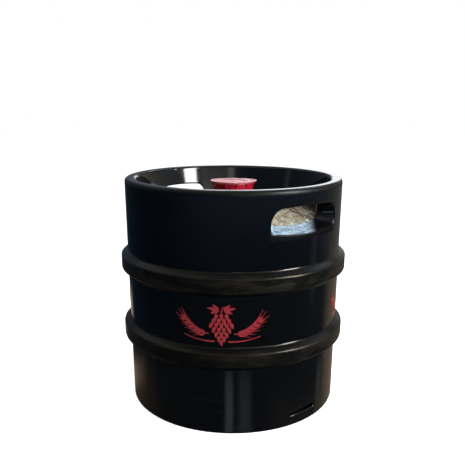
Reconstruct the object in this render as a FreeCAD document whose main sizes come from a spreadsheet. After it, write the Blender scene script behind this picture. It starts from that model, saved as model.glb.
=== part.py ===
import FreeCAD, Part
import os
import re
import Sketcher

# Thirty litre draught keg: a stainless vessel inside a moulded polyurethane jacket, with a
# spring-loaded extractor valve in the middle of its top dome and a push-on dust cap over it.
# Frame: origin at the centre of the base, +Z up, one handle on +X and one on -X. Millimetres.
# Radii are measured from the keg's axis, heights from the floor.

SIZES = {
    # jacket
    "keg_height": 400,
    "body_radius": 187.7,
    "rim_inner_radius": 169,
    "rim_outer_round": 6,
    "rim_inner_round": 5,
    "foot_outer_round": 4.5,
    "foot_inner_round": 4,
    # rolling hoops: a flat face with a slope above and below it
    "hoop_radius": 199.2,
    "upper_hoop_height": 258,
    "lower_hoop_height": 135,
    "hoop_face_half": 11.5,
    "hoop_root_half": 18.5,
    "hoop_crest_round": 3.5,
    "hoop_root_round": 2.5,
    # head well: its wall narrows from the rim down to the vessel's dome
    "well_foot_radius": 155,
    # hand holes through the head ring, narrowing inward: the opening's outline in an upright
    # plane outside the ring and in one inside the well
    "hole_outer_plane": 200,
    "hole_outer_half_width": 95.6,
    "hole_outer_bottom": 325.6,
    "hole_outer_top": 376.7,
    "hole_outer_upper_round": 32,
    "hole_outer_lower_round": 11,
    "hole_inner_plane": 140,
    "hole_inner_half_width": 37,
    "hole_inner_bottom": 345,
    "hole_inner_top": 361.5,
    "hole_inner_upper_round": 13.2,
    "hole_inner_lower_round": 3,
    "hole_outer_edge_round": 3,
    "hole_inner_edge_round": 2.5,
    # drain slots through the foot ring
    "drain_half_width": 28.5,
    "drain_bottom": 20,
    "drain_top": 27.5,
    "drain_round": 2.5,
    "drain_edge_round": 2.5,
    # stainless vessel: two equal halves that meet at its middle
    "vessel_middle": 190,
    "vessel_radius": 174,
    "vessel_wall": 1.5,
    "shoulder_rise": 136,
    "crease_radius": 163,
    "crease_rise": 144,
    "dome_rise": 32.5,
    "shoulder_round": 8,
    "crease_round": 2,
    "sump_radius": 24,
    "jacket_gap": 0.2,
    # neck fitting welded into the upper half
    "neck_radius": 31,
    "neck_bore_radius": 27.2,
    "neck_bottom": 346,
    "neck_top": 372,
    "gasket_thickness": 1.5,
    # valve housing
    "thread_radius": 27,
    "thread_bottom": 350,
    "flange_radius": 32,
    "flange_top": 386,
    "lip_thickness": 4,
    "lip_bore_radius": 21.5,
    "lug_notch_radius": 25.6,
    "lug_notch_half_width": 9,
    "chamber_floor": 374,
    "throat_radius": 18.5,
    "seat_height": 366,
    "barrel_radius": 25,
    "barrel_bore_radius": 23,
    "barrel_bottom": 330,
    "port_radius": 3.5,
    "port_height": 340.5,
    "port_count": 4,
    # lock ring in the barrel's groove, and the cage that stands on it
    "groove_radius": 24.2,
    "lock_ring_inner_radius": 21.8,
    "lock_ring_bottom": 331.9,
    "lock_ring_thickness": 1.6,
    "lock_ring_sweep": 328,
    "fit_gap": 0.1,
    "cage_radius": 21,
    "cage_bore_radius": 19.4,
    "cage_flange_radius": 22.7,
    "cage_flange_thickness": 1.8,
    "cage_floor_top": 304.5,
    "cage_floor_thickness": 2,
    "cage_window_half_width": 5.5,
    "cage_window_bottom": 308,
    "cage_window_top": 327,
    # guide bush in the cage floor
    "bush_radius": 11,
    "bush_bore_radius": 8.3,
    "bush_flange_radius": 13.5,
    "bush_flange_thickness": 1.5,
    "bush_length": 6.5,
    # siphon: tube, head, support ring and rubber seal move down together
    "tube_radius": 8,
    "tube_bore_radius": 7,
    "tube_bottom": 31.5,
    "head_floor": 338,
    "head_boss_radius": 10.5,
    "head_boss_length": 10,
    "head_cup_radius": 13.2,
    "head_cup_bore_radius": 11.5,
    "head_flange_radius": 19.5,
    "head_flange_thickness": 2,
    "support_thickness": 2,
    "seal_thickness": 5.2,
    "seal_radius": 21,
    "seal_bore_radius": 8.5,
    "seal_round": 0.8,
    # steel ball that closes the beer way
    "ball_radius": 9.5,
    "ball_gap": 0.3,
    # springs
    "gas_coil_radius": 17,
    "gas_wire_radius": 1.25,
    "gas_coil_pitch": 8,
    "ball_coil_radius": 7.2,
    "ball_wire_radius": 0.6,
    "ball_coil_pitch": 2.6,
    # dust cap
    "cap_disc_radius": 40.5,
    "cap_disc_bottom": 388.4,
    "cap_top": 391,
    "cap_skin": 2.2,
    "cap_skirt_radius": 34.5,
    "cap_skirt_bore_radius": 32.5,
    "cap_skirt_bottom": 372.6,
    "cap_plug_radius": 21,
    "cap_plug_bore_radius": 19,
    "cap_plug_bottom": 384,
    "cap_land_radius": 29,
    "cap_land_bottom": 386.2,
    "cap_rib_count": 12,
    "cap_rib_half_width": 0.9,
    "cap_rib_radius": 38,
    "cap_rib_drop": 9,
    "cap_edge_round": 1,
}

NEAR = 0.02  # how far, in mm, an edge may lie off a wall or outline and still count as on it

DOME_RADIUS = "((crease_radius ^ 2 + dome_rise ^ 2) / (2 * dome_rise))"
HEAD_FLANGE_TOP = "(seat_height - seal_thickness - support_thickness)"
HEAD_FLANGE_BOTTOM = f"({HEAD_FLANGE_TOP} - head_flange_thickness)"
CAGE_BOTTOM = "(cage_floor_top - cage_floor_thickness)"
LOCK_RING_TOP = "(lock_ring_bottom + lock_ring_thickness)"
CAGE_TOP = f"({LOCK_RING_TOP} + cage_flange_thickness)"
BALL_HEIGHT = (
    "(seat_height - seal_thickness - ball_gap"
    " - sqrt(ball_radius ^ 2 - seal_bore_radius ^ 2))"
)

doc = FreeCAD.newDocument("Keg")
sheet = doc.addObject("Spreadsheet::Sheet", "Sizes")
for row, (alias, number) in enumerate(SIZES.items(), 1):
    sheet.set(f"A{row}", str(number))
    sheet.setAlias(f"A{row}", alias)
doc.recompute()


def tied(expression):
    """The expression with each size name pointing at its cell of the sheet."""
    return re.sub(r"[a-z_]+", lambda m: f"Sizes.{m[0]}" if m[0] in SIZES else m[0], expression)


def size(expression):
    """The number an expression of size names comes to."""
    return float(sheet.evalExpression(tied(expression)))


def dome_height(radius):
    """Height of the upper dome's outside at a radius."""
    apex = "vessel_middle + crease_rise + dome_rise"
    return f"({apex} - {DOME_RADIUS} + sqrt({DOME_RADIUS} ^ 2 - ({radius}) ^ 2))"


def shoulder_height(radius):
    """Rise of the sloping shoulder above the vessel's middle where the jacket meets it."""
    slope = "(crease_rise - shoulder_rise) / (vessel_radius - crease_radius)"
    return f"(shoulder_rise + (vessel_radius + jacket_gap - {radius}) * {slope})"


def new_body(label):
    return doc.addObject("PartDesign::Body", label)


def new_sketch(body, role, name):
    """A sketch on one of the body's own origin planes."""
    sketch = body.newObject("Sketcher::SketchObject", f"{body.Label}_{name}")
    plane = next(f for f in body.Origin.OriginFeatures if f.Role == role)
    sketch.AttachmentSupport = [(plane, "")]
    sketch.MapMode = "FlatFace"
    return sketch


def hold(sketch, kind, geometry, point, expression):
    """Dimension a point from the sketch's origin and tie it to the sheet."""
    value = size(expression)
    if value < 0:
        places = (geometry, point, -1, 1)
        expression = f"-({expression})"
    else:
        places = (-1, 1, geometry, point)
    index = sketch.addConstraint(Sketcher.Constraint(kind, *places, abs(value)))
    sketch.setExpression(f"Constraints[{index}]", tied(expression))


def hold_radius(sketch, geometry, expression):
    index = sketch.addConstraint(Sketcher.Constraint("Radius", geometry, size(expression)))
    sketch.setExpression(f"Constraints[{index}]", tied(expression))


def vector(x, y, z=0):
    return FreeCAD.Vector(x, y, z)


def arc_between(start, end, radius):
    """Counter-clockwise arc under half a turn from start to end."""
    chord = end - start
    inward = vector(-chord.y, chord.x) / chord.Length
    centre = (start + end) / 2 + inward * (radius**2 - (chord.Length / 2) ** 2) ** 0.5
    circle = Part.Circle(centre, vector(0, 0, 1), radius)
    return Part.ArcOfCircle(circle, circle.parameter(start), circle.parameter(end))


def draw_outline(sketch, corners):
    """Closed outline, counter-clockwise. A corner is (across, up), or (across, up, radius)
    where an arc of that radius leads on to the next corner instead of a straight line."""
    points = [vector(size(corner[0]), size(corner[1])) for corner in corners]
    for index, corner in enumerate(corners):
        start, end = points[index], points[(index + 1) % len(points)]
        if len(corner) == 3:
            sketch.addGeometry(arc_between(start, end, size(corner[2])), False)
        else:
            sketch.addGeometry(Part.LineSegment(start, end), False)
    for index in range(len(corners)):
        following = (index + 1) % len(corners)
        sketch.addConstraint(Sketcher.Constraint("Coincident", index, 2, following, 1))
    for index, corner in enumerate(corners):
        hold(sketch, "DistanceX", index, 1, corner[0])
        hold(sketch, "DistanceY", index, 1, corner[1])
        if len(corner) == 3:
            hold_radius(sketch, index, corner[2])


def draw_circle(sketch, across, up, radius):
    circle = Part.Circle(vector(size(across), size(up)), vector(0, 0, 1), size(radius))
    sketch.addGeometry(circle, False)
    hold(sketch, "DistanceX", 0, 3, across)
    hold(sketch, "DistanceY", 0, 3, up)
    hold_radius(sketch, 0, radius)


def draw_rounded_opening(sketch, half_width, bottom, top, lower_round, upper_round):
    """Opening about the sketch's upright axis, with its own radius for each pair of corners."""
    left = f"-{half_width}"
    corners = [
        (f"{left} + {lower_round}", bottom),
        (f"{half_width} - {lower_round}", bottom, lower_round),
        (half_width, f"{bottom} + {lower_round}"),
        (half_width, f"{top} - {upper_round}", upper_round),
        (f"{half_width} - {upper_round}", top),
        (f"{left} + {upper_round}", top, upper_round),
        (left, f"{top} - {upper_round}"),
        (left, f"{bottom} + {lower_round}", lower_round),
    ]
    draw_outline(sketch, corners)


def add_feature(body, kind, name, profile):
    feature = body.newObject(f"PartDesign::{kind}", f"{body.Label}_{name}")
    feature.Profile = (profile, [""])
    return feature


def turned(label, corners, sweep="360"):
    """A body made by turning an outline about the keg's axis."""
    body = new_body(label)
    sketch = new_sketch(body, "XZ_Plane", "outline")
    draw_outline(sketch, corners)
    turn = add_feature(body, "Revolution", "turn", sketch)
    turn.ReferenceAxis = (sketch, ["V_Axis"])
    turn.setExpression("Angle", tied(sweep))
    doc.recompute()
    return body


def ring_corners(inner, outer, bottom, top):
    return [(inner, bottom), (outer, bottom), (outer, top), (inner, top)]


def add_rounds(body, name, radius, edges):
    base = body.Tip
    rounds = body.newObject("PartDesign::Fillet", f"{body.Label}_{name}")
    rounds.Base = (base, edges)
    rounds.setExpression("Radius", tied(radius))
    doc.recompute()


def circles_at(body, places):
    """Names of the body's full circles about the keg's axis at each (radius, height)."""
    names = []
    for radius, height in places:
        for number, edge in enumerate(body.Tip.Shape.Edges, 1):
            if edge.Degenerated or not isinstance(edge.Curve, Part.Circle):
                continue
            curve = edge.Curve
            off = abs(curve.Radius - size(radius)) + abs(curve.Center.z - size(height))
            if off < 0.01:
                names.append(f"Edge{number}")
    return names


def cut_through(body, name, sketch, reach):
    """Pocket both ways from the sketch's plane, each way as far as reach."""
    before = body.Tip.Shape.Volume
    pocket = add_feature(body, "Pocket", name, sketch)
    pocket.SideType = "Symmetric"
    pocket.setExpression("Length", tied(f"2 * ({reach})"))
    doc.recompute()
    check_change(pocket, before)
    return pocket


def check_change(feature, before):
    if abs(feature.Shape.Volume - before) < 1:
        raise SystemExit(f"{feature.Label} changed nothing")


def repeat_round(body, name, feature, count):
    """Repeat a feature evenly round the keg's axis."""
    axis = next(f for f in body.Origin.OriginFeatures if f.Role == "Z_Axis")
    pattern = body.newObject("PartDesign::PolarPattern", f"{body.Label}_{name}")
    pattern.Originals = [feature]
    pattern.Axis = (axis, [""])
    pattern.Angle = 360
    pattern.setExpression("Occurrences", tied(count))
    body.Tip = pattern
    doc.recompute()


def make_jacket():
    """One moulding: foot ring, two rolling hoops, head ring with hand holes."""

    def hoop(height):
        return [
            ("body_radius", f"{height} - hoop_root_half"),
            ("hoop_radius", f"{height} - hoop_face_half"),
            ("hoop_radius", f"{height} + hoop_face_half"),
            ("body_radius", f"{height} + hoop_root_half"),
        ]

    lower, upper = hoop("lower_hoop_height"), hoop("upper_hoop_height")
    bore = "vessel_radius + jacket_gap"
    body = turned(
        "jacket",
        [("rim_inner_radius", "0"), ("body_radius", "0")]
        + lower
        + upper
        + [
            ("body_radius", "keg_height"),
            ("rim_inner_radius", "keg_height"),
            ("well_foot_radius", f"{dome_height('well_foot_radius')} + jacket_gap"),
            ("crease_radius + jacket_gap", "vessel_middle + crease_rise + jacket_gap"),
            (bore, "vessel_middle + shoulder_rise"),
            (bore, "vessel_middle - shoulder_rise"),
            ("rim_inner_radius", f"vessel_middle - {shoulder_height('rim_inner_radius')}"),
        ],
    )
    crests = lower[1:3] + upper[1:3]
    roots = lower[::3] + upper[::3]
    add_rounds(body, "crests", "hoop_crest_round", circles_at(body, crests))
    add_rounds(body, "roots", "hoop_root_round", circles_at(body, roots))
    for name, radius, place in (
        ("rim_outside", "rim_outer_round", ("body_radius", "keg_height")),
        ("rim_inside", "rim_inner_round", ("rim_inner_radius", "keg_height")),
        ("foot_outside", "foot_outer_round", ("body_radius", "0")),
        ("foot_inside", "foot_inner_round", ("rim_inner_radius", "0")),
    ):
        add_rounds(body, name, radius, circles_at(body, [place]))
    cut_hand_holes(body)
    cut_drains(body)


def cut_hand_holes(body):
    """Two opposite openings through the head ring, each narrowing inward."""
    outlines = []
    for side in ("outer", "inner"):
        sketch = new_sketch(body, "YZ_Plane", f"hand_hole_{side}_outline")
        sketch.setExpression("AttachmentOffset.Base.z", tied(f"hole_{side}_plane"))
        rounds = (f"hole_{side}_lower_round", f"hole_{side}_upper_round")
        places = [f"hole_{side}_{name}" for name in ("half_width", "bottom", "top")]
        draw_rounded_opening(sketch, *places, *rounds)
        outlines.append(sketch)
    before = body.Tip.Shape.Volume
    cut = add_feature(body, "SubtractiveLoft", "hand_hole", outlines[0])
    cut.Sections = [(outlines[1], [""])]
    cut.Ruled = True
    doc.recompute()
    check_change(cut, before)
    repeat_round(body, "hand_holes", cut, "2")
    for side, wall_radius in (("outer", outer_wall_radius), ("inner", well_radius)):
        edges = opening_edges(body, wall_radius, "hole_outer")
        add_rounds(body, f"hand_hole_{side}_edges", f"hole_{side}_edge_round", edges)


def cut_drains(body):
    """Two opposite slots through the foot ring, rounded over outside."""
    slot = new_sketch(body, "YZ_Plane", "drain_outline")
    draw_rounded_opening(
        slot, "drain_half_width", "drain_bottom", "drain_top", "drain_round", "drain_round"
    )
    cut_through(body, "drains", slot, "hoop_radius")
    edges = opening_edges(body, outer_wall_radius, "drain")
    add_rounds(body, "drain_edges", "drain_edge_round", edges)


def outer_wall_radius(height):
    return size("body_radius")


def well_radius(height):
    """Radius of the head well's wall at a height."""
    foot, rim = size("well_foot_radius"), size("rim_inner_radius")
    foot_height = size(f"{dome_height('well_foot_radius')} + jacket_gap")
    return foot + (rim - foot) * (height - foot_height) / (size("keg_height") - foot_height)


def opening_edges(body, wall_radius, opening):
    """Names of the edges that a pair of openings makes in one wall of the jacket."""
    names = []
    low, high = size(f"{opening}_bottom") - NEAR, size(f"{opening}_top") + NEAR
    half_width = size(f"{opening}_half_width") + NEAR
    for number, edge in enumerate(body.Tip.Shape.Edges, 1):
        if edge.Degenerated or edge.isClosed():
            continue
        ends = [edge.Vertexes[0].Point, edge.Vertexes[-1].Point]
        ends.append(edge.valueAt((edge.FirstParameter + edge.LastParameter) / 2))
        if all(
            low < p.z < high
            and abs(p.y) < half_width
            and abs((p.x**2 + p.y**2) ** 0.5 - wall_radius(p.z)) < NEAR
            for p in ends
        ):
            names.append(f"Edge{number}")
    return names


def hollow(body, open_faces):
    """Leave only the wall of a solid, open at the named faces."""
    base = body.Tip
    wall = body.newObject("PartDesign::Thickness", f"{body.Label}_wall")
    wall.Base = (base, open_faces)
    wall.Reversed = True
    wall.setExpression("Value", tied("vessel_wall"))
    doc.recompute()


def faces_where(body, test):
    faces = enumerate(body.Tip.Shape.Faces, 1)
    return [f"Face{number}" for number, face in faces if test(face)]


def make_vessel():
    """Two drawn halves, welded together at the middle."""
    middle = size("vessel_middle")

    def at_the_middle(face):
        return abs(face.BoundBox.ZMin - middle) + abs(face.BoundBox.ZMax - middle) < 0.01

    def in_the_neck(face):
        return face.BoundBox.XMax < size("neck_radius") + 0.01

    upper = turned(
        "vessel_upper_shell",
        [
            ("neck_radius", "vessel_middle"),
            ("vessel_radius", "vessel_middle"),
            ("vessel_radius", "vessel_middle + shoulder_rise"),
            ("crease_radius", "vessel_middle + crease_rise", DOME_RADIUS),
            ("neck_radius", dome_height("neck_radius")),
        ],
    )
    sump_height = f"(2 * vessel_middle - {dome_height('sump_radius')})"
    lower = turned(
        "vessel_lower_shell",
        [
            ("0", sump_height),
            ("sump_radius", sump_height, DOME_RADIUS),
            ("crease_radius", "vessel_middle - crease_rise"),
            ("vessel_radius", "vessel_middle - shoulder_rise"),
            ("vessel_radius", "vessel_middle"),
            ("0", "vessel_middle"),
        ],
    )
    for body, side in ((upper, "+"), (lower, "-")):
        shoulder = ("vessel_radius", f"vessel_middle {side} shoulder_rise")
        crease = ("crease_radius", f"vessel_middle {side} crease_rise")
        add_rounds(body, "shoulder", "shoulder_round", circles_at(body, [shoulder]))
        add_rounds(body, "crease", "crease_round", circles_at(body, [crease]))
    hollow(upper, faces_where(upper, lambda f: at_the_middle(f) or in_the_neck(f)))
    hollow(lower, faces_where(lower, at_the_middle))


def make_neck():
    """Threaded neck fitting in the top dome, and the gasket on top of it."""
    turned("neck_fitting", ring_corners("neck_bore_radius", "neck_radius", "neck_bottom", "neck_top"))
    turned(
        "neck_gasket",
        ring_corners("neck_bore_radius", "neck_radius", "neck_top", "neck_top + gasket_thickness"),
    )


def make_valve_housing():
    """Screwed-in housing: coupler lip with two lug notches, throat, seat, ported barrel."""
    flange_bottom = "neck_top + gasket_thickness"
    lip_bottom = "flange_top - lip_thickness"
    body = turned(
        "valve_housing",
        [
            ("barrel_bore_radius", "barrel_bottom"),
            ("barrel_radius", "barrel_bottom"),
            ("barrel_radius", "thread_bottom"),
            ("thread_radius", "thread_bottom"),
            ("thread_radius", flange_bottom),
            ("flange_radius", flange_bottom),
            ("flange_radius", "flange_top"),
            ("lip_bore_radius", "flange_top"),
            ("lip_bore_radius", lip_bottom),
            ("lug_notch_radius", lip_bottom),
            ("lug_notch_radius", "chamber_floor"),
            ("throat_radius", "chamber_floor"),
            ("throat_radius", "seat_height"),
            ("barrel_bore_radius", "seat_height"),
            ("barrel_bore_radius", f"{LOCK_RING_TOP} + fit_gap"),
            ("groove_radius", f"{LOCK_RING_TOP} + fit_gap"),
            ("groove_radius", "lock_ring_bottom - fit_gap"),
            ("barrel_bore_radius", "lock_ring_bottom - fit_gap"),
        ],
    )
    notches = new_sketch(body, "XZ_Plane", "notch_outline")
    draw_outline(
        notches,
        [
            ("-lug_notch_radius", lip_bottom),
            ("lug_notch_radius", lip_bottom),
            ("lug_notch_radius", "flange_top"),
            ("-lug_notch_radius", "flange_top"),
        ],
    )
    cut_through(body, "notches", notches, "lug_notch_half_width")
    port = new_sketch(body, "XZ_Plane", "port_outline")
    draw_circle(port, "0", "port_height", "port_radius")
    before = body.Tip.Shape.Volume
    cut = add_feature(body, "Pocket", "port", port)
    cut.setExpression("Length", tied("barrel_radius + fit_gap"))
    doc.recompute()
    check_change(cut, before)
    repeat_round(body, "ports", cut, "port_count")


def make_spring_cage():
    """Windowed cup below the housing, the lock ring that holds it up, and its guide bush."""
    turned(
        "lock_ring",
        ring_corners(
            "lock_ring_inner_radius",
            "groove_radius - fit_gap",
            "lock_ring_bottom",
            LOCK_RING_TOP,
        ),
        "lock_ring_sweep",
    )
    cage = turned(
        "spring_cage",
        [
            ("bush_radius", CAGE_BOTTOM),
            ("cage_radius", CAGE_BOTTOM),
            ("cage_radius", LOCK_RING_TOP),
            ("cage_flange_radius", LOCK_RING_TOP),
            ("cage_flange_radius", CAGE_TOP),
            ("cage_bore_radius", CAGE_TOP),
            ("cage_bore_radius", "cage_floor_top"),
            ("bush_radius", "cage_floor_top"),
        ],
    )
    for role in ("XZ_Plane", "YZ_Plane"):
        window = new_sketch(cage, role, f"window_{role[:2]}")
        draw_rounded_opening(
            window,
            "cage_window_half_width",
            "cage_window_bottom",
            "cage_window_top",
            "drain_round",
            "drain_round",
        )
        cut_through(cage, f"windows_{role[:2]}", window, "cage_radius + fit_gap")
    bush_top = "cage_floor_top + bush_flange_thickness"
    turned(
        "tube_guide_bush",
        [
            ("bush_bore_radius", f"{bush_top} - bush_length"),
            ("bush_radius", f"{bush_top} - bush_length"),
            ("bush_radius", "cage_floor_top"),
            ("bush_flange_radius", "cage_floor_top"),
            ("bush_flange_radius", bush_top),
            ("bush_bore_radius", bush_top),
        ],
    )


def make_siphon():
    """Dip tube with its flared head, the support ring and the rubber gas seal on top."""
    turned("siphon_tube", ring_corners("tube_bore_radius", "tube_radius", "tube_bottom", "head_floor"))
    turned(
        "siphon_head",
        [
            ("tube_radius", "head_floor - head_boss_length"),
            ("head_boss_radius", "head_floor - head_boss_length"),
            ("head_boss_radius", "head_floor - head_flange_thickness"),
            ("head_cup_radius", "head_floor"),
            ("head_cup_radius", HEAD_FLANGE_BOTTOM),
            ("head_flange_radius", HEAD_FLANGE_BOTTOM),
            ("head_flange_radius", HEAD_FLANGE_TOP),
            ("head_cup_bore_radius", HEAD_FLANGE_TOP),
            ("head_cup_bore_radius", "head_floor"),
            ("tube_radius", "head_floor"),
        ],
    )
    seal_bottom = "seat_height - seal_thickness"
    turned(
        "seal_support_ring",
        ring_corners("head_cup_bore_radius", "head_flange_radius", HEAD_FLANGE_TOP, seal_bottom),
    )
    seal = turned(
        "gas_valve_seal",
        ring_corners("seal_bore_radius", "seal_radius", seal_bottom, "seat_height"),
    )
    add_rounds(seal, "edge", "seal_round", circles_at(seal, [("seal_radius", seal_bottom)]))


def make_ball():
    """Ball against the underside of the seal's bore."""
    turned(
        "product_valve_ball",
        [
            ("0", f"{BALL_HEIGHT} - ball_radius", "ball_radius"),
            ("ball_radius", BALL_HEIGHT, "ball_radius"),
            ("0", f"{BALL_HEIGHT} + ball_radius"),
        ],
    )


def make_spring(label, coil_radius, wire_radius, pitch, bottom, top):
    """Open coil of round wire between two heights."""
    body = new_body(label)
    sketch = new_sketch(body, "XZ_Plane", "wire")
    draw_circle(sketch, coil_radius, f"{bottom} + {wire_radius}", wire_radius)
    doc.recompute()
    coil = add_feature(body, "AdditiveHelix", "coil", sketch)
    coil.ReferenceAxis = (sketch, ["V_Axis"])
    coil.Mode = "pitch-height-angle"
    coil.setExpression("Pitch", tied(pitch))
    coil.setExpression("Height", tied(f"{top} - {bottom} - 2 * {wire_radius}"))
    doc.recompute()


def make_springs():
    make_spring(
        "gas_valve_spring",
        "gas_coil_radius",
        "gas_wire_radius",
        "gas_coil_pitch",
        "cage_floor_top",
        HEAD_FLANGE_BOTTOM,
    )
    ball_contact = f"({BALL_HEIGHT} - sqrt(ball_radius ^ 2 - ball_coil_radius ^ 2))"
    make_spring(
        "ball_spring",
        "ball_coil_radius",
        "ball_wire_radius",
        "ball_coil_pitch",
        "head_floor",
        f"({ball_contact} - ball_gap)",
    )


def make_dust_cap():
    """Push-on cap: overhanging disc, skirt with gussets, and a plug ring for the lip."""
    body = turned(
        "dust_cap",
        [
            ("cap_skirt_bore_radius", "cap_skirt_bottom"),
            ("cap_skirt_radius", "cap_skirt_bottom"),
            ("cap_skirt_radius", "cap_disc_bottom"),
            ("cap_disc_radius", "cap_disc_bottom"),
            ("cap_disc_radius", "cap_top"),
            ("0", "cap_top"),
            ("0", "cap_top - cap_skin"),
            ("cap_plug_bore_radius", "cap_top - cap_skin"),
            ("cap_plug_bore_radius", "cap_plug_bottom"),
            ("cap_plug_radius", "cap_plug_bottom"),
            ("cap_plug_radius", "cap_top - cap_skin"),
            ("cap_land_radius", "cap_top - cap_skin"),
            ("cap_land_radius", "cap_land_bottom"),
            ("cap_skirt_bore_radius", "cap_land_bottom"),
        ],
    )
    edge = [("cap_disc_radius", "cap_top")]
    add_rounds(body, "edge", "cap_edge_round", circles_at(body, edge))
    gusset = new_sketch(body, "XZ_Plane", "gusset_outline")
    draw_outline(
        gusset,
        [
            ("cap_skirt_bore_radius", "cap_disc_bottom - cap_rib_drop"),
            ("cap_skirt_radius", "cap_disc_bottom - cap_rib_drop"),
            ("cap_rib_radius", "cap_disc_bottom"),
            ("cap_skirt_bore_radius", "cap_disc_bottom"),
        ],
    )
    before = body.Tip.Shape.Volume
    pad = add_feature(body, "Pad", "gusset", gusset)
    pad.SideType = "Symmetric"
    pad.setExpression("Length", tied("2 * cap_rib_half_width"))
    doc.recompute()
    check_change(pad, before)
    repeat_round(body, "gussets", pad, "cap_rib_count")


def check_document():
    """Stop if anything failed to compute, or any body is empty or not valid."""
    for thing in doc.Objects:
        if {"Invalid", "Error"} & set(thing.State):
            raise SystemExit(f"{thing.Label} did not compute: {thing.State}")
    for body in bodies():
        if body.Shape.isNull() or not body.Shape.isValid() or not body.Shape.Solids:
            raise SystemExit(f"{body.Label} has no valid solid")


def bodies():
    return [thing for thing in doc.Objects if thing.TypeId == "PartDesign::Body"]


def write_parts():
    os.makedirs("parts", exist_ok=True)
    for body in bodies():
        body.Shape.exportStep(f"parts/{body.Label}.step")
        volume = body.Shape.Volume / 1000
        print(f"{body.Label}: {len(body.Shape.Solids)} solid, {volume:.2f} cm3")


make_jacket()
make_vessel()
make_neck()
make_valve_housing()
make_spring_cage()
make_siphon()
make_ball()
make_springs()
make_dust_cap()
doc.recompute()
check_document()
write_parts()
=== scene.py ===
import math

import bmesh
import bpy
from mathutils import Euler, Matrix, Vector, noise


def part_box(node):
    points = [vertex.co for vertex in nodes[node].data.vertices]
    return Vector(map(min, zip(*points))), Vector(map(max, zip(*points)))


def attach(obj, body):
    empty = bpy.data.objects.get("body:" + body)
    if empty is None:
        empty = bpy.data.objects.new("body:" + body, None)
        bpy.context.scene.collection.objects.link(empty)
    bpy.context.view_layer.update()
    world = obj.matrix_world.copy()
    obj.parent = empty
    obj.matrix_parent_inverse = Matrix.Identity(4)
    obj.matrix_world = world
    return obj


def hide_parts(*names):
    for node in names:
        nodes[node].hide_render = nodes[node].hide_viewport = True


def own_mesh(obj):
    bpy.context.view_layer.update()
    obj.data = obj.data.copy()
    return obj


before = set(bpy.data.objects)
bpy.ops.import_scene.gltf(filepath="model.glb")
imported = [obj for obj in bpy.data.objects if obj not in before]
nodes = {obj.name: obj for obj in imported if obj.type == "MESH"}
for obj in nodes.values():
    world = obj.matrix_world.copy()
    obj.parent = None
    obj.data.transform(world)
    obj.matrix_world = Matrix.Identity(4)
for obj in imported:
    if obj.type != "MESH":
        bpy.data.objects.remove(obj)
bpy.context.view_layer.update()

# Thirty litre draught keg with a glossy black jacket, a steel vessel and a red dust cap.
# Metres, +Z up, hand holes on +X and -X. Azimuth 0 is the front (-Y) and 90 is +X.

MM = 0.001
ROOT = "keg_body"
BODY_RADIUS = 187.7 * MM  # the jacket's wall between the hoops


# ---------------------------------------------------------------- camera, light, floor

CAMERA_AZIMUTH = 50.5
CAMERA_DISTANCE = 1.0706  # from the keg's axis
CAMERA_HEIGHT = 0.5272
CAMERA_DOWN = 18.14  # degrees below level
CAMERA_ROLL = 0.22
CAMERA_LENS = 47.0  # mm
CAMERA_SENSOR = 36  # mm
CAMERA_SHIFT = (-0.0012, 0.1402)

LIGHT_TARGET = (0, 0, 0.3)
MATT_SKY = 0.14  # how brightly the white sky lights matt surfaces
FLOOR_RADIUS = 9
FLOOR_GLOW = 0.92


def round_place(azimuth, distance, height):
    """A point at an azimuth round the keg, seen from above."""
    angle = math.radians(azimuth)
    return Vector((math.sin(angle) * distance, -math.cos(angle) * distance, height))


def make_camera():
    camera = bpy.data.objects.new("camera", bpy.data.cameras.new("camera"))
    bpy.context.scene.collection.objects.link(camera)
    camera.location = round_place(CAMERA_AZIMUTH, CAMERA_DISTANCE, CAMERA_HEIGHT)
    aim = Euler((math.radians(90 - CAMERA_DOWN), 0, math.radians(CAMERA_AZIMUTH))).to_matrix()
    roll = Matrix.Rotation(math.radians(CAMERA_ROLL), 3, "Z")
    camera.rotation_euler = (aim @ roll).to_euler()
    camera.data.lens = CAMERA_LENS
    camera.data.sensor_width = CAMERA_SENSOR
    camera.data.shift_x, camera.data.shift_y = CAMERA_SHIFT
    bpy.context.scene.camera = camera


def make_window(name, azimuth, elevation, distance, size, radiance, colour, mirrored):
    """A glowing rectangle that faces the keg, at an azimuth measured from the camera's."""
    light = bpy.data.lights.new(name, "AREA")
    light.shape = "RECTANGLE"
    light.size, light.size_y = size
    light.energy = radiance * math.pi * size[0] * size[1]
    light.color = colour
    lamp = bpy.data.objects.new(name, light)
    bpy.context.scene.collection.objects.link(lamp)
    flat = math.cos(math.radians(elevation)) * distance
    rise = math.sin(math.radians(elevation)) * distance
    target = Vector(LIGHT_TARGET)
    lamp.location = target + round_place(CAMERA_AZIMUTH + azimuth, flat, rise)
    lamp.rotation_euler = (lamp.location - target).to_track_quat("Z", "Y").to_euler()
    lamp.visible_glossy = mirrored


# Name, azimuth from the camera's, elevation, distance, (width, height), radiance, colour, and
# whether glossy surfaces mirror the window.
WINDOWS = (
    ("tall_window", 60.5, 22, 3.2, (0.92, 1.9), 26, (0.95, 0.98, 1.0), True),
    ("far_window", 3, 20, 3.2, (0.42, 0.8), 1.1, (1.0, 0.98, 0.9), True),
    ("left_window", -77, 15, 3.2, (0.34, 1.0), 0.28, (0.7, 0.8, 1.0), True),
    ("soft_top", -20, 78, 2.4, (1.5, 1.2), 6, (1.0, 0.99, 0.97), False),
)

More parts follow.
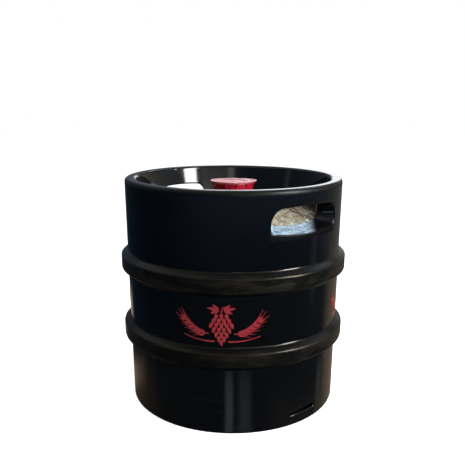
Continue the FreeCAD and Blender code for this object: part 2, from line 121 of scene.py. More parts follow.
# The dim room that glossy surfaces mirror, from straight down (0) to straight up (1).
ROOM_GRADIENT = (
    (0.0, (0.01, 0.01, 0.01)),
    (0.34, (0.050, 0.050, 0.046)),
    (0.385, (0.045, 0.062, 0.090)),
    (0.425, (0.12, 0.14, 0.21)),
    (0.49, (0.14, 0.16, 0.22)),
    (0.56, (0.42, 0.43, 0.45)),
    (0.75, (0.40, 0.41, 0.43)),
    (1.0, (0.6, 0.62, 0.65)),
)

BACK = 181  # degrees, just past the seam on the far side of the room

# Patches laid over that room in turn: azimuths from the camera's and elevations, each as (low,
# high) in degrees, the softness of the sides and of the top and bottom, and a colour.
ROOM_PATCHES = (
    ((-BACK, -45), (-23.5, -4), (45, 3), (0.010, 0.022, 0.036)),
    ((-BACK, 0), (-3, 30), (20, 5), (0.10, 0.12, 0.16)),
    ((-BACK, -97), (-60, -23.5), (12, 2), (0.08, 0.064, 0.048)),
    ((-BACK, -118), (-26.0, -23.8), (10, 0.8), (0.26, 0.195, 0.135)),
    ((40, 106), (-60, -27.5), (14, 1.6), (0.12, 0.10, 0.085)),
    ((120, BACK), (-60, -12), (9, 9), (0.28, 0.225, 0.155)),
    ((104, BACK), (-12, 3), (9, 8), (0.15, 0.145, 0.14)),
    ((100, 160), (0, 13), (8, 4), (0.44, 0.40, 0.34)),
    ((100, BACK), (14, 34), (6, 6), (0.30, 0.25, 0.18)),
    ((100, BACK), (21, 26), (6, 2.5), (0.10, 0.07, 0.045)),
    ((-BACK, -147), (-21.0, -17.2), (4, 1.2), (0.52, 0.38, 0.29)),
    ((138, 166), (32.5, 41), (3, 1.2), (1.3, 1.8, 2.4)),
    ((3, 42), (-2, 16), (5, 5), (1.9, 1.75, 1.45)),
    ((160, BACK), (3, 11), (4, 2.5), (1.8, 1.85, 1.9)),
    ((-BACK, -176), (3, 11), (3, 2.5), (1.5, 1.55, 1.6)),
    ((-8, 0), (-40, -25.5), (2.0, 1.4), (0.60, 0.62, 0.66)),
    ((91, 98), (-18, -9), (2, 2), (0.17, 0.16, 0.16)),
    ((110, 117), (-27, -24), (2.5, 1), (0.22, 0.23, 0.22)),
    ((108, 132), (-60, -27), (5, 1), (0.24, 0.19, 0.14)),
    ((7, 20), (-40, -25.5), (3.0, 1.4), (0.30, 0.31, 0.32)),
)


def make_world():
    """White to the camera, soft to matt surfaces, and a dim room to glossy ones."""
    world = bpy.data.worlds.new("studio")
    bpy.context.scene.world = world
    world.use_nodes = True
    web = Nodes(world.node_tree)
    white = web.tree.nodes["Background"]
    white.inputs["Color"].default_value = (1, 1, 1, 1)
    rays = web.add("ShaderNodeLightPath").outputs
    web.feed(white.inputs["Strength"], web.step(rays["Is Camera Ray"], 0, 1, MATT_SKY, 1.0))
    turned = web.add("ShaderNodeMapping")
    web.feed(turned.inputs["Vector"], web.add("ShaderNodeTexCoord").outputs["Generated"])
    turned.inputs["Rotation"].default_value = (0, 0, -math.radians(CAMERA_AZIMUTH))
    split = web.add("ShaderNodeSeparateXYZ")
    web.feed(split.inputs[0], turned.outputs[0])
    across, along, up = split.outputs
    away = web.math("MULTIPLY", along, -1)
    azimuth = web.degrees(web.math("ARCTAN2", across, away))
    elevation = web.degrees(web.math("ARCSINE", up))
    ramp = web.add("ShaderNodeValToRGB")
    web.feed(ramp.inputs[0], web.step(elevation, -90, 90, 0, 1))
    fill_ramp(ramp.color_ramp, ROOM_GRADIENT)
    colour = ramp.outputs[0]
    for azimuths, elevations, softness, patch in ROOM_PATCHES:
        inside = 1.0
        sides = ((azimuth, azimuths), (elevation, elevations))
        for (angle, (low, high)), soft in zip(sides, softness):
            past_low = web.step(angle, low - soft, low + soft)
            short_of_high = web.step(angle, high - soft, high + soft, 1, 0)
            inside = web.times(inside, past_low, short_of_high)
        colour = web.mix(inside, colour, patch)
    room = web.add("ShaderNodeBackground")
    web.feed(room.inputs["Color"], colour)
    both = web.add("ShaderNodeMixShader")
    web.feed(both.inputs[0], rays["Is Glossy Ray"])
    web.feed(both.inputs[1], white.outputs[0])
    web.feed(both.inputs[2], room.outputs[0])
    web.feed(web.tree.nodes["World Output"].inputs["Surface"], both.outputs[0])
    view = bpy.context.scene.view_settings
    view.view_transform = "Standard"
    view.look = "None"


def fill_ramp(ramp, stops):
    """Set a colour ramp's stops from (place, (r, g, b)) pairs."""
    while len(ramp.elements) < len(stops):
        ramp.elements.new(0.5)
    for element, (place, colour) in zip(ramp.elements, stops):
        element.position = place
        element.color = (*colour, 1)


def make_floor():
    mesh = bpy.data.meshes.new("floor")
    built = bmesh.new()
    bmesh.ops.create_circle(built, cap_ends=True, segments=96, radius=FLOOR_RADIUS)
    built.to_mesh(mesh)
    built.free()
    floor = bpy.data.objects.new("floor", mesh)
    bpy.context.scene.collection.objects.link(floor)
    floor.visible_glossy = False
    paint = Paint("floor_paint", (0.9, 0.9, 0.9), 0.9)
    paint.shader.inputs["Emission Color"].default_value = (1, 1, 1, 1)
    paint.shader.inputs["Emission Strength"].default_value = FLOOR_GLOW
    mesh.materials.append(paint.material)


# ---------------------------------------------------------------- materials


class Nodes:
    """Short ways to add nodes to one node tree."""

    def __init__(self, tree):
        self.tree = tree

    def feed(self, socket, value):
        """Give a socket a constant, or link another node's output to it."""
        if isinstance(value, bpy.types.NodeSocket):
            self.tree.links.new(value, socket)
        else:
            socket.default_value = value

    def add(self, kind, **settings):
        node = self.tree.nodes.new(kind)
        for name, value in settings.items():
            setattr(node, name, value)
        return node

    def math(self, operation, first, second=0.0, third=0.0):
        node = self.add("ShaderNodeMath", operation=operation)
        for socket, value in zip(node.inputs, (first, second, third)):
            self.feed(socket, value)
        return node.outputs[0]

    def times(self, first, *others):
        """Everything given, multiplied together in order."""
        for other in others:
            first = self.math("MULTIPLY", first, other)
        return first

    def degrees(self, value):
        return self.math("MULTIPLY", value, 180 / math.pi)

    def step(self, value, low, high, start=0.0, end=1.0):
        """value from low to high, smoothly mapped on to start to end."""
        node = self.add("ShaderNodeMapRange", interpolation_type="SMOOTHSTEP")
        numbers = (value, low, high, start, end)
        for socket, number in zip(node.inputs, numbers):
            self.feed(socket, number)
        return node.outputs[0]

    def band(self, value, rise, fall):
        """1 between two (from, to) pairs: up over the first and down over the second."""
        return self.times(self.step(value, *rise), self.step(value, *fall, 1, 0))

    def mix(self, amount, first, second):
        """first to second, each a colour or another node's output."""
        node = self.add("ShaderNodeMix", data_type="RGBA")
        self.feed(node.inputs["Factor"], amount)
        for name, colour in (("A", first), ("B", second)):
            socket = next(s for s in node.inputs if s.name == name and s.type == "RGBA")
            if not isinstance(colour, bpy.types.NodeSocket):
                colour = (*colour, 1)
            self.feed(socket, colour)
        return next(s for s in node.outputs if s.type == "RGBA")


class Paint(Nodes):
    """One Principled material."""

    def __init__(self, name, colour, roughness, metal=0.0):
        self.material = bpy.data.materials.new(name)
        self.material.use_nodes = True
        super().__init__(self.material.node_tree)
        self.shader = self.tree.nodes["Principled BSDF"]
        self.set("Base Color", (*colour, 1))
        self.set("Roughness", roughness)
        self.set("Metallic", metal)

    def set(self, name, value):
        self.feed(self.shader.inputs[name], value)

    def place(self, scale=(1, 1, 1)):
        """Positions in the keg's frame, in metres, stretched."""
        node = self.add("ShaderNodeMapping")
        self.feed(node.inputs["Vector"], self.add("ShaderNodeTexCoord").outputs["Object"])
        node.inputs["Scale"].default_value = scale
        return node.outputs[0]

    def noise(self, place, scale, detail=3.0, rough=0.5, twist=0.0):
        node = self.add("ShaderNodeTexNoise")
        self.feed(node.inputs["Vector"], place)
        node.inputs["Scale"].default_value = scale
        node.inputs["Detail"].default_value = detail
        node.inputs["Roughness"].default_value = rough
        node.inputs["Distortion"].default_value = twist
        return node.outputs[0]

    def cells(self, place, scale):
        """Distance to the nearest of scattered points."""
        node = self.add("ShaderNodeTexVoronoi")
        self.feed(node.inputs["Vector"], place)
        node.inputs["Scale"].default_value = scale
        return node.outputs["Distance"]

    def axis(self, name):
        split = self.add("ShaderNodeSeparateXYZ")
        self.feed(split.inputs[0], self.place())
        return split.outputs[name]

    def radius(self):
        """Distance from the keg's axis."""
        flat = self.place(scale=(1, 1, 0))
        node = self.add("ShaderNodeVectorMath", operation="LENGTH")
        self.feed(node.inputs[0], flat)
        return node.outputs["Value"]

    def bump(self, *layers):
        """Stack (height, depth in metres) layers of bump, and link them to the shader."""
        normal = None
        for height, depth in layers:
            node = self.add("ShaderNodeBump")
            node.inputs["Distance"].default_value = depth
            self.feed(node.inputs["Height"], height)
            if normal is not None:
                self.feed(node.inputs["Normal"], normal)
            normal = node.outputs[0]
        self.set("Normal", normal)


# The jacket's worn parts, in metres, as the (from, to) pairs over which their masks rise or fall.
HOOP_ROOT = (BODY_RADIUS + 0.02 * MM, BODY_RADIUS + 0.25 * MM)
HOOP_CROWN = (BODY_RADIUS + 1.5 * MM, BODY_RADIUS + 9 * MM)
SILL_RADII = ((0.156, 0.160), (0.1845, 0.1872))
SILL_HEIGHTS = ((0.320, 0.325), (0.346, 0.352))
LIP_HEIGHTS = ((0.3226, 0.3234), (0.336, 0.346))
LIP_SIDES = (0.062, 0.078)
RIM_RADII = (0.1805, 0.183)
RIM_HEIGHTS = ((0.391, 0.3935), (0.3990, 0.3998))
FOOT_HEIGHTS = (0.0, 0.13)
# The sill's pale blue-white, part wear and part painted reflection of the sky, covers one half of
# each hand hole, and its edge leans with the distance out.
REFLECTED_HALF_LEAN = 0.82
REFLECTED_HALF_EDGE = (0.146, 0.171)

JACKET_BLACK = (0.0006, 0.0010, 0.0016)
SCUFFED = (0.011, 0.0095, 0.0065)
WIPED = (0.03, 0.03, 0.03)
SPECKLED = (0.12, 0.12, 0.11)
# Pale blue-white on the sills: part wear, part painted reflection of the sky.
SILL_WEAR_AND_REFLECTION = (0.48, 0.62, 0.75)
WALL_GLOSS = (1.0, 1.0, 1.0)
HOOP_GLOSS = (1.0, 0.89, 0.70)


def jacket_paint():
    """Glossy moulded polyurethane: black, scuffed on the hoops, scratched in the hand holes, with
    a painted reflection of the sky on one half of each sill.
    """
    paint = Paint("jacket_black", (0.0008, 0.0012, 0.0018), 0.12)
    height = paint.axis("Z")
    radius = paint.radius()
    hoop = paint.step(radius, *HOOP_ROOT)
    crown = paint.step(radius, *HOOP_CROWN)
    sill = paint.times(paint.band(radius, *SILL_RADII), paint.band(height, *SILL_HEIGHTS))
    rim = paint.times(paint.step(radius, *RIM_RADII), paint.band(height, *RIM_HEIGHTS))
    aside = paint.math("ABSOLUTE", paint.axis("Y"))
    lip = paint.times(paint.band(height, *LIP_HEIGHTS), paint.step(aside, *LIP_SIDES, 1, 0))
    foot = paint.step(height, *FOOT_HEIGHTS, 1, 0)

    cloud = paint.step(paint.noise(paint.place(), 9, 4, 0.6), 0.42, 0.66)
    grime = paint.step(paint.noise(paint.place((13, 13, 60)), 1, 5, 0.66), 0.47, 0.66)
    grains = paint.step(paint.noise(paint.place(), 700, 2, 0.8), 0.50, 0.76)
    scratches = paint.noise(paint.place((150, 60, 260)), 1, 4, 0.7, 1.0)
    streaks = paint.step(paint.noise(paint.place((5, 5, 420)), 1, 3, 0.6), 0.60, 0.74)
    specks = paint.step(paint.cells(paint.place(), 210), 0.04, 0.10, 1, 0)

    patchy = paint.math("MULTIPLY_ADD", grime, 0.85, 0.15)
    scuffs = paint.times(crown, patchy, paint.math("MULTIPLY_ADD", grains, 0.6, 0.4))
    wipes = paint.times(streaks, cloud, paint.math("MULTIPLY_ADD", foot, 0.5, 0.2))
    # Painted reflection and wear: one half of each sill is whitened as if it mirrored the sky,
    # broken up by scratches.
    sideways = paint.times(paint.axis("Y"), paint.math("SIGN", paint.axis("X")))
    outward = paint.math("ABSOLUTE", paint.axis("X"))
    lean = paint.math("MULTIPLY_ADD", outward, REFLECTED_HALF_LEAN, sideways)
    whitening = paint.times(sill, paint.step(lean, *REFLECTED_HALF_EDGE, 1, 0))
    whitening = paint.times(whitening, paint.step(scratches, 0.38, 0.60, 0.34, 1.0))

    shade = paint.mix(scuffs, JACKET_BLACK, SCUFFED)
    shade = paint.mix(paint.times(wipes, 0.25), shade, WIPED)
    shade = paint.mix(paint.times(specks, cloud, 0.10), shade, SPECKLED)
    # The sills' whitening mixes in the pale blue-white: part wear, part painted reflection.
    paint.set("Base Color", paint.mix(whitening, shade, SILL_WEAR_AND_REFLECTION))

    rough = paint.math("MULTIPLY_ADD", cloud, 0.03, 0.08)
    rougher = ((sill, 0.10), (lip, 0.34), (rim, 0.30), (hoop, 0.17), (wipes, 0.25), (scuffs, 0.30))
    for mask, extra in rougher:
        rough = paint.math("MULTIPLY_ADD", mask, extra, rough)
    paint.set("Roughness", rough)
    dull = paint.times(paint.math("MAXIMUM", hoop, rim), 0.24)
    dull = paint.math("MAXIMUM", dull, paint.times(lip, 0.42))
    paint.set("Specular IOR Level", paint.math("SUBTRACT", 0.5, dull))
    paint.set("Specular Tint", paint.mix(hoop, WALL_GLOSS, HOOP_GLOSS))
    paint.shader.inputs["IOR"].default_value = 1.5
    paint.bump(
        (paint.noise(paint.place((1, 1, 0.6)), 14, 2), 0.0005),
        (paint.noise(paint.place(), 420, 2), 0.00003),
        (paint.times(grime, crown), 0.00015),
        (paint.times(scratches, sill), 0.0005),
    )
    return paint.material


def dome_paint():
    """Pickled deep-drawn steel, finely brushed round the axis, dented and creased in drawing."""
    paint = Paint("vessel_steel", (0.5, 0.43, 0.33), 0.3, 1.0)
    brushed = paint.noise(paint.place((40, 40, 900)), 1, 3, 0.6)
    cloud = paint.step(paint.noise(paint.place(), 62, 4, 0.6), 0.27, 0.73)
    paint.set("Base Color", paint.mix(cloud, (0.93, 0.77, 0.52), (0.45, 0.30, 0.14)))
    rough = paint.math("MULTIPLY_ADD", cloud, 0.08, 0.15)
    paint.set("Roughness", paint.math("MULTIPLY_ADD", brushed, 0.12, rough))
    creases = paint.noise(paint.place(), 48, 3, 0.5, 1.2)
    creases = paint.math("ABSOLUTE", paint.math("SUBTRACT", creases, 0.5))
    paint.bump(
        (paint.noise(paint.place(), 26, 2, 0.5, 0.6), 0.0042),
        (creases, 0.0030),
        (brushed, 0.00004),
    )
    return paint.material


def turned_steel_paint():
    paint = Paint("turned_steel", (0.62, 0.61, 0.60), 0.24, 1.0)
    lines = paint.noise(paint.place((60, 60, 2600)), 1, 2, 0.6)
    stains = paint.step(paint.noise(paint.place(), 60, 4, 0.6), 0.4, 0.75)
    paint.set("Base Color", paint.mix(stains, (0.68, 0.68, 0.67), (0.48, 0.46, 0.43)))
    paint.set("Roughness", paint.math("MULTIPLY_ADD", lines, 0.18, 0.14))
    paint.bump((lines, 0.00003))
    return paint.material


def spring_steel_paint():
    paint = Paint("spring_steel", (0.55, 0.55, 0.56), 0.22, 1.0)
    drawn = paint.noise(paint.place(), 500, 2)
    paint.set("Roughness", paint.math("MULTIPLY_ADD", drawn, 0.15, 0.15))
    paint.set("Base Color", paint.mix(drawn, (0.60, 0.60, 0.61), (0.42, 0.42, 0.43)))
    return paint.material


def rubber_paint():
    paint = Paint("seal_rubber", (0.018, 0.018, 0.018), 0.55)
    whitening = paint.noise(paint.place(), 260, 4, 0.6)
    paint.set("Base Color", paint.mix(whitening, (0.012, 0.012, 0.012), (0.035, 0.034, 0.033)))
    paint.set("Roughness", paint.math("MULTIPLY_ADD", whitening, 0.2, 0.42))
    paint.bump((whitening, 0.00004))
    return paint.material


def bush_paint():
    paint = Paint("bush_plastic", (0.8, 0.79, 0.74), 0.4)
    grain = paint.noise(paint.place(), 300, 3)
    paint.set("Base Color", paint.mix(grain, (0.84, 0.83, 0.79), (0.74, 0.72, 0.66)))
    paint.bump((grain, 0.00003))
    return paint.material


CAP_DISC_HEIGHTS = (0.3885, 0.3895)  # metres, over which the skirt gives way to the disc
# Pale pink painted on the disc's top as a sheen.
PAINTED_SHEEN_PINK = (0.90, 0.34, 0.42)


def cap_paint():
    """Thin glossy red polyethylene, slightly wavy, with a painted sheen that makes the disc's top
    paler pink.
    """
    paint = Paint("cap_red", (0.55, 0.012, 0.04), 0.14)
    cloud = paint.noise(paint.place(), 90, 3, 0.6)
    disc = paint.step(paint.axis("Z"), *CAP_DISC_HEIGHTS)
    shade = paint.mix(cloud, (0.26, 0.003, 0.014), (0.46, 0.012, 0.042))
    # Painted sheen: the disc's top is mixed partway to pale pink.
    paint.set("Base Color", paint.mix(paint.times(disc, 0.32), shade, PAINTED_SHEEN_PINK))
    rough = paint.math("MULTIPLY_ADD", cloud, 0.10, 0.06)
    paint.set("Roughness", paint.math("MULTIPLY_ADD", disc, 0.035, rough))
    paint.bump((paint.noise(paint.place(), 150, 2, 0.5, 0.8), 0.00055))
    return paint.material


def ink_paint():
    """Screen-printed red ink, a little thin in places."""
    paint = Paint("print_red", (0.4, 0.02, 0.03), 0.3)
    thin = paint.step(paint.noise(paint.place(), 420, 4, 0.7), 0.45, 0.75)
    paint.set("Base Color", paint.mix(thin, (0.21, 0.008, 0.014), (0.15, 0.006, 0.010)))
    paint.set("Roughness", paint.math("MULTIPLY_ADD", thin, 0.15, 0.26))
    paint.bump((thin, 0.00003))
    return paint.material


def weld_paint():
    paint = Paint("weld_steel", (0.5, 0.46, 0.40), 0.3, 1.0)
    heat = paint.noise(paint.place(), 140, 3)
    paint.set("Base Color", paint.mix(heat, (0.56, 0.54, 0.50), (0.34, 0.27, 0.20)))
    paint.set("Roughness", paint.math("MULTIPLY_ADD", heat, 0.2, 0.2))
    return paint.material


def give(material, *names):
    for name in names:
        mesh = nodes[name].data
        mesh.materials.clear()
        mesh.materials.append(material)


def paint_frame(spring_steel):
    turned = turned_steel_paint()
    give(jacket_paint(), "jacket")
    give(dome_paint(), "vessel_upper_shell", "vessel_lower_shell")
    give(turned, "neck_fitting", "valve_housing", "spring_cage", "siphon_head")
    give(turned, "seal_support_ring", "siphon_tube", "product_valve_ball")
    give(spring_steel, "lock_ring")
    give(rubber_paint(), "neck_gasket", "gas_valve_seal")
    give(bush_paint(), "tube_guide_bush")


# ---------------------------------------------------------------- pieces


def finish_piece(name, built, material, body, smooth=180):
    """Turn a bmesh into a piece that rides on a body. Edges sharper than smooth stay sharp."""
    bmesh.ops.recalc_face_normals(built, faces=built.faces)
    mesh = bpy.data.meshes.new(name)
    built.to_mesh(mesh)
    built.free()
    mesh.materials.append(material)
    for face in mesh.polygons:
        face.use_smooth = True
    if smooth < 180:
        mesh.set_sharp_from_angle(angle=math.radians(smooth))
    piece = bpy.data.objects.new(name, mesh)
    bpy.context.scene.collection.objects.link(piece)
    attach(piece, body)
    return piece


def lathe(built, outline, segments, wave):
    """Turn a closed outline of (radius, height) in mm round the axis.

    wave(angle, radius, height) gives how far a point moves outward and upward, in mm.
    An outline's first and last points may lie on the axis.
    """
    rings = []
    for radius, height in outline:
        if radius == 0:
            rings.append([built.verts.new((0, 0, height * MM))])
            continue
        ring = []
        for step in range(segments):
            angle = 2 * math.pi * step / segments
            out, up = wave(angle, radius, height)
            reach = (radius + out) * MM
            place = (math.sin(angle) * reach, -math.cos(angle) * reach, (height + up) * MM)
            ring.append(built.verts.new(place))
        rings.append(ring)
    pairs = list(zip(rings, rings[1:]))
    if outline[0][0] > 0:
        pairs.append((rings[-1], rings[0]))
    for one, other in pairs:
        for step in range(segments):
            following = (step + 1) % segments
            corners = [one[step % len(one)], one[following % len(one)]]
            corners += [other[following % len(other)], other[step % len(other)]]
            built.faces.new(list(dict.fromkeys(corners)))


def corner(centre, radius, start, end, steps=5):
    """Points of a round corner of an outline, from one angle to another in degrees."""
    points = []
    for step in range(steps + 1):
        angle = math.radians(start + (end - start) * step / steps)
        points.append((centre[0] + math.cos(angle) * radius, centre[1] + math.sin(angle) * radius))
    return points


def along(start, end, steps):
    """Points between two points of an outline, both left out."""
    shares = [step / steps for step in range(1, steps)]
    return [tuple(a + (b - a) * share for a, b in zip(start, end)) for share in shares]


CAP_SEGMENTS = 216
CAP_GUSSETS = 12
CAP_HIGH_SIDE = 50.5  # azimuth where the warped disc's edge sits highest
CAP_WARP_START = 29  # mm from the axis, where the disc starts to warp
CAP_WARP_REACH = 11.5
CAP_UNDERSIDE = 388.7  # mm up, above which points belong to the disc
CAP_SKIRT_RADII = (33.4, 36)
CAP_SKIRT_TOP = 388.5


def cap_outline():
    """The dust cap's section: a disc, a skirt round the valve's flange, and a plug."""
    outline = [(0, 390.7), (1.0, 390.7), (1.4, 390.3), (8, 390.2), (18, 390.2)]
    outline += [(21, 390.3), (22.5, 390.75), (28, 390.9), (31, 390.95)]
    outline += along((31, 390.95), (39.4, 391.0), 7)
    outline += corner((39.5, 390.1), 0.95, 80, -80)
    outline += along((39.3, 389.15), (36.2, 388.9), 3)
    outline += corner((36.2, 387.2), 1.7, 90, 180)
    outline += along((34.5, 387.2), (34.5, 374.9), 10)
    outline += corner((34.4, 373.8), 0.75, 70, -80)
    outline += [(33.2, 372.9), (32.6, 373.6), (32.5, 374.5), (32.5, 386.2), (29, 386.2)]
    outline += [(29, 388.8), (21, 388.8), (21, 384.5), (20.6, 384.0), (19.4, 384.0)]
    outline += [(19, 384.5), (19, 388.6), (0, 388.6)]
    return outline


def cap_wave(angle, radius, height):
    """The thin cap's warp: its disc's edge dips and lifts, and its skirt is creased."""
    around = Vector((math.sin(angle), math.cos(angle), 0))
    edge = max(0.0, (radius - CAP_WARP_START) / CAP_WARP_REACH)
    turn = angle - math.radians(CAP_HIGH_SIDE)
    lift = 1.5 + 1.2 * math.cos(turn) - 0.5 * math.cos(2 * turn)
    lift += 0.5 * noise.noise(around * 2.6 + Vector((3.1, 0, 0)))
    lift *= edge * edge
    lift += 0.30 * edge * edge * noise.noise(around * 9)
    inner, outer = CAP_SKIRT_RADII
    skirt = 1.0 if inner < radius < outer and height < CAP_SKIRT_TOP else 0.0
    fold = noise.noise(around * 11 + Vector((0, 0, height * 0.10)))
    fine = noise.noise(around * 26 + Vector((0, 7, height * 0.22)))
    return skirt * (0.55 * fold + 0.25 * fine), lift if height > CAP_UNDERSIDE else 0.0


GUSSET_FOOT = 379.6  # mm up
GUSSET_HEIGHT = 9.6
GUSSET_ROOT = 33.6  # mm from the axis, inside the skirt


def add_gusset(built, angle):
    """A thin web between the cap's skirt and its disc."""
    out = Vector((math.sin(angle), -math.cos(angle), 0))
    side = Vector((math.cos(angle), math.sin(angle), 0))
    rows = []
    for share in (0.0, 0.25, 0.5, 0.75, 1.0):
        height = GUSSET_FOOT + GUSSET_HEIGHT * share
        reach = 34.9 + 3.4 * share**1.6
        half = 0.55 + 0.35 * share
        places = [(GUSSET_ROOT, -half), (reach - 0.4, -half), (reach, 0)]
        places += [(reach - 0.4, half), (GUSSET_ROOT, half)]
        row = [out * (r * MM) + side * (w * MM) + Vector((0, 0, height * MM)) for r, w in places]
        rows.append([built.verts.new(place) for place in row])
    for low, high in zip(rows, rows[1:]):
        for step in range(len(low)):
            following = (step + 1) % len(low)
            built.faces.new((low[step], low[following], high[following], high[step]))
    built.faces.new(rows[0])
    built.faces.new(rows[-1])


def make_cap():
    built = bmesh.new()
    lathe(built, cap_outline(), CAP_SEGMENTS, cap_wave)
    for number in range(CAP_GUSSETS):
        add_gusset(built, 2 * math.pi * number / CAP_GUSSETS)
    shell = finish_piece("cap_shell", built, cap_paint(), "dust_cap", 42)
    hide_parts("dust_cap")


WIRE_SIDES = 14
TURN_STEPS = 56
CLOSED_TURNS = 1.0
CLOSED_PITCH = 2.1  # wire radii from one closed turn to the next
SPRING_PLAY = 0.15  # mm between a spring and its seats

# Each coil spring: piece, CAD node, body, coil radius, wire radius, free turns, the joint that
# shortens it and that joint's travel. Lengths are in mm.
SPRINGS = (
    ("gas_valve_coil", "gas_valve_spring", ROOT, 17.0, 1.25, 5.0, "siphon_press", 10),
    ("ball_coil", "ball_spring", "siphon", 7.2, 0.6, 3.0, "ball_press", 6),
)


def coil_path(wire_radius, free_turns, length):
    """(turn, height) steps of a coil with a closed turn at each end."""
    closed_rise = CLOSED_PITCH * wire_radius * CLOSED_TURNS
    free_rise = length - 2 * wire_radius - 2 * closed_rise
    turns = free_turns + 2 * CLOSED_TURNS
    steps = round(turns * TURN_STEPS)
    for step in range(steps + 1):
        turn = turns * step / steps
        rise = min(turn, CLOSED_TURNS) / CLOSED_TURNS * closed_rise
        rise += max(0.0, turn - CLOSED_TURNS - free_turns) / CLOSED_TURNS * closed_rise
        share = min(1.0, max(0.0, (turn - CLOSED_TURNS) / free_turns))
        yield turn, wire_radius + rise + free_rise * share


def make_spring(steel, name, node, body, coil_radius, wire_radius, free_turns, joint, travel):
    low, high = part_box(node)
    length = (high[2] - low[2]) / MM - SPRING_PLAY
    built = bmesh.new()
    rings = []
    for turn, height in coil_path(wire_radius, free_turns, length):
        angle = 2 * math.pi * turn
        out = Vector((math.cos(angle), math.sin(angle), 0))
        ring = []
        for side in range(WIRE_SIDES):
            lean = 2 * math.pi * side / WIRE_SIDES
            reach = (coil_radius + math.cos(lean) * wire_radius) * MM
            up = low[2] + (height + math.sin(lean) * wire_radius) * MM
            ring.append(built.verts.new(out * reach + Vector((0, 0, up))))
        rings.append(ring)
    for one, other in zip(rings, rings[1:]):
        for side in range(WIRE_SIDES):
            following = (side + 1) % WIRE_SIDES
            built.faces.new((one[side], one[following], other[following], other[side]))
    built.faces.new(rings[0])
    built.faces.new(rings[-1])
    piece = finish_piece(name, built, steel, body, 50)
    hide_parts(node)
    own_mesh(piece)


WELD_RADIUS = 1.7
WELD_SEGMENTS = 660
WELD_RIPPLES = 110


def make_neck_weld():
    """The rippled bead that joins the neck fitting to the dome."""
    neck_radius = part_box("neck_fitting")[1][0] / MM
    dome_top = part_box("vessel_upper_shell")[1][2] / MM
    section = corner((neck_radius + 0.1, dome_top - 0.3), WELD_RADIUS, -170, 170, 15)

    def ripple(angle, radius, height):
        bead = 0.10 * math.sin(angle * WELD_RIPPLES)
        bead += 0.14 * noise.noise(Vector((angle * 9, 0, 4)))
        return bead, bead

    built = bmesh.new()
    lathe(built, section, WELD_SEGMENTS, ripple)
    finish_piece("neck_weld", built, weld_paint(), ROOT)


# ---------------------------------------------------------------- prints

# In mm, except the azimuths. The ink runs from just inside the wall to just outside it.
PRINT_HEIGHT = 193
PRINT_AZIMUTHS = (45, 135, 225, 315)
INK_OUT = 0.22
INK_IN = -0.25
LEAF_STEPS = 12
LEAF_TIP = 0.12
# The hop's rows of petals, each (height, count).
HOP_ROWS = ((18, 3), (10.5, 4), (3, 5), (-4.5, 4), (-12, 3), (-19, 2), (-25, 1))
PETAL_GAP = 7.4
GRAIN_PAIRS = 6


class Print:
    """Ink strokes on the jacket's wall; across and up are in mm from the print's middle."""

    def __init__(self, azimuth):
        self.azimuth = azimuth
        self.built = bmesh.new()

    def on_wall(self, across, up, lift):
        turn = math.degrees(across * MM / BODY_RADIUS)
        return round_place(self.azimuth + turn, BODY_RADIUS + lift * MM, (PRINT_HEIGHT + up) * MM)

    def stroke(self, path, half_widths, columns=2):
        """A closed thin ribbon of ink along a path, with a half width at each point."""
        tops, bottoms = [], []
        for number, (across, up) in enumerate(path):
            before, after = path[max(number - 1, 0)], path[min(number + 1, len(path) - 1)]
            run, rise = after[0] - before[0], after[1] - before[1]
            length = math.hypot(run, rise)
            for rows, lift in ((tops, INK_OUT), (bottoms, INK_IN)):
                row = []
                for column in range(columns + 1):
                    share = (2 * column / columns - 1) * half_widths[number] / length
                    place = self.on_wall(across - rise * share, up + run * share, lift)
                    row.append(self.built.verts.new(place))
                rows.append(row)
        add = self.built.faces.new
        for step in range(len(path) - 1):
            for rows in (tops, bottoms):
                for column in range(columns):
                    near, far = rows[step], rows[step + 1]
                    add((near[column], near[column + 1], far[column + 1], far[column]))
            for side in (0, -1):
                edge = (tops[step][side], tops[step + 1][side])
                add((*edge, bottoms[step + 1][side], bottoms[step][side]))
        for step in (0, -1):
            add(tops[step] + bottoms[step][::-1])

    def leaf(self, across, up, angle, length, half_width, bend=0.0, fullness=0.7):
        """A pointed leaf, husk or grain that starts at a point and heads off at an angle."""
        path, widths = [], []
        for step in range(LEAF_STEPS + 1):
            share = step / LEAF_STEPS
            path.append((across, up))
            widths.append(LEAF_TIP + half_width * math.sin(math.pi * share**fullness) ** 0.8)
            heading = math.radians(angle + bend * share)
            across += math.cos(heading) * length / LEAF_STEPS
            up += math.sin(heading) * length / LEAF_STEPS
        self.stroke(path, widths, 4)

    def line(self, points, start_width, end_width, steps=24):
        """A tapering line along a quadratic curve through three guide points."""
        path, widths = [], []
        for step in range(steps + 1):
            share = step / steps
            blend = ((1 - share) ** 2, 2 * share * (1 - share), share**2)
            places = zip(*points)
            path.append(tuple(sum(b * p for b, p in zip(blend, place)) for place in places))
            widths.append(start_width + (end_width - start_width) * share)
        self.stroke(path, widths)
        return path


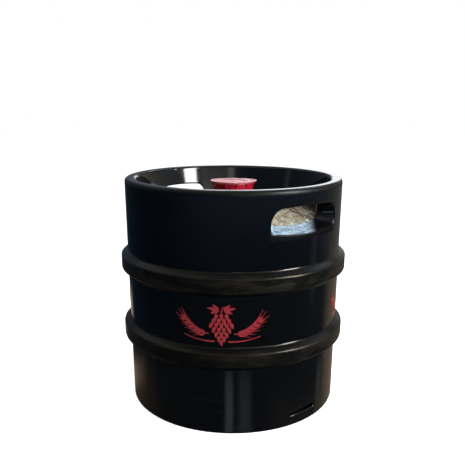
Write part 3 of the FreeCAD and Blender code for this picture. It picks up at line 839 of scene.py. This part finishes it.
def draw_hop(ink):
    """A hop cone that hangs point down, under a leaf of three lobes on each side."""
    for up, count in HOP_ROWS:
        for number in range(count):
            across = (number - (count - 1) / 2) * PETAL_GAP
            ink.leaf(across, up, -90 + across * 1.3, 10.5, 2.9, across * 0.8, 0.62)
    for side in (1, -1):
        for lean, length in ((18, 19), (-14, 14), (50, 14)):
            ink.leaf(side * 4, 23, 90 - side * (90 - lean), length, 2.7, -side * 12)
    ink.line(((0, 19), (0, 26), (5, 30)), 1.1, 0.7)


def draw_barley(ink, side):
    """An ear of barley that lies outward from the hop, with its beard at the far end."""
    stem = ink.line(((side * 20, -15), (side * 40, -17), (side * 58, 4)), 0.9, 0.7)
    for number in range(GRAIN_PAIRS):
        place = 4 + number * 4
        (across, up), (before, below) = stem[place], stem[place - 1]
        heading = math.degrees(math.atan2(up - below, across - before))
        for lean in (1, -1):
            ink.leaf(across, up, heading + lean * 42, 10.5, 2.3, -lean * 30)
            tip = math.radians(heading + lean * 27)
            start = (across + math.cos(tip) * 10, up + math.sin(tip) * 10)
            beard = math.radians(heading + lean * 16)
            end = (start[0] + math.cos(beard) * 11, start[1] + math.sin(beard) * 11)
            middle = ((start[0] + end[0]) / 2, (start[1] + end[1]) / 2 + lean * 0.6)
            ink.line((start, middle, end), 0.55, 0.25, 8)
    ink.leaf(*stem[-1], heading, 11, 2.3)
    ink.line((stem[-1], stem[-1], (side * 71, 21)), 0.55, 0.25, 8)


def make_prints():
    """The same plain hop-and-barley ornament, four times round the jacket."""
    ink_material = ink_paint()
    for azimuth in PRINT_AZIMUTHS:
        ink = Print(azimuth)
        draw_hop(ink)
        for side in (1, -1):
            draw_barley(ink, side)
            ink.line(((side * 11, -28), (side * 36, -29), (side * 62, -20)), 1.4, 0.5)
        finish_piece(f"print_{azimuth}", ink.built, ink_material, ROOT, 40)


make_camera()
make_world()
for window in WINDOWS:
    make_window(*window)
make_floor()
spring_steel = spring_steel_paint()
paint_frame(spring_steel)
make_cap()
for spring in SPRINGS:
    make_spring(spring_steel, *spring)
make_neck_weld()
make_prints()
